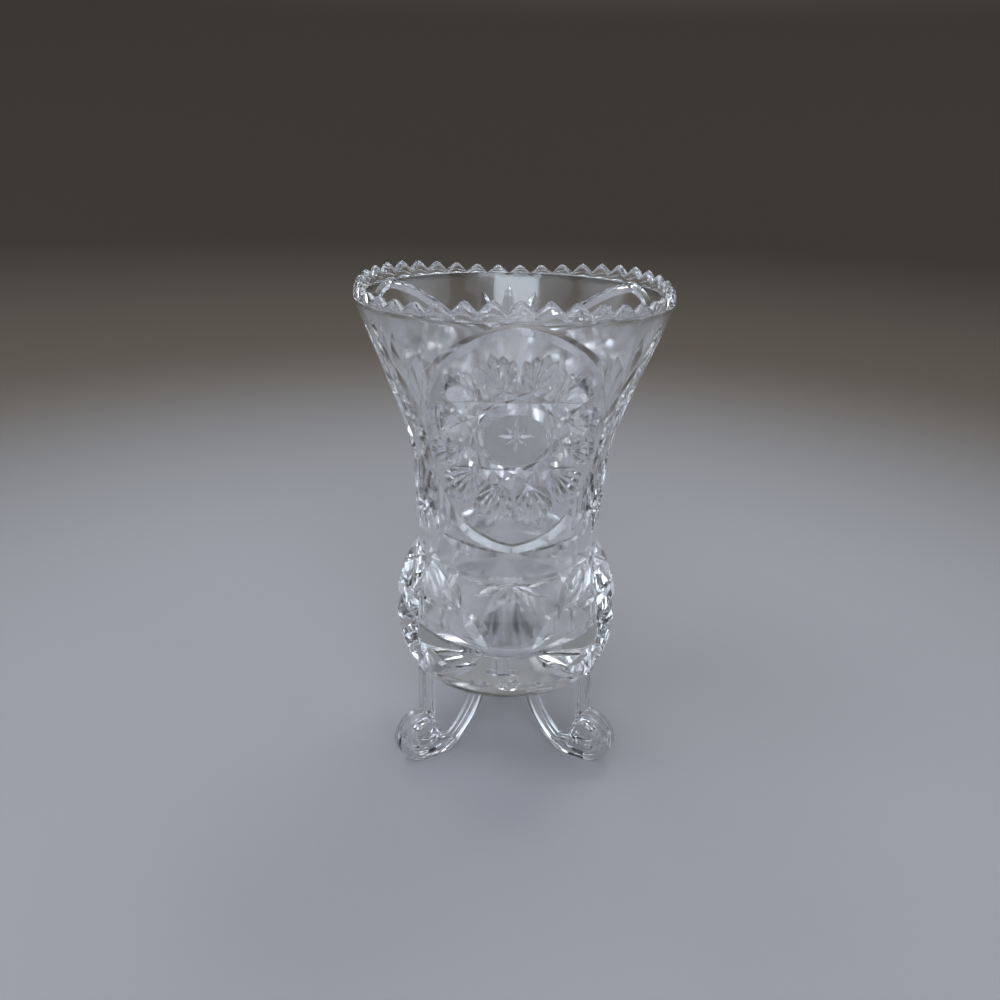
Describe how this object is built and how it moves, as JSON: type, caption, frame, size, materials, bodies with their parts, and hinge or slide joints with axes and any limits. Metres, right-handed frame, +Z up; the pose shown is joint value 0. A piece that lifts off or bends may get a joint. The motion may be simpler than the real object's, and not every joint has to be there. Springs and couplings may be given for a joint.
{
  "type": "footed vase",
  "caption": "Clear pressed-glass vase with a flared, toothed rim, star medallions on the neck, a round bulb and three scroll feet.",
  "frame": {"origin": "on the floor under the vase's axis, midway between the three feet", "axes": "+Z up along the vase's axis, -Y out through the middle of the front medallion, +X to the right seen from the front"},
  "size_m": [0.112, 0.112, 0.189],
  "materials": {
    "clear_glass": "fire-polished clear glass"
  },
  "bodies": {
    "root": {"vase_body": "clear_glass", "foot_front_left": "clear_glass", "foot_front_right": "clear_glass", "foot_rear": "clear_glass"}
  },
  "joints": []
}
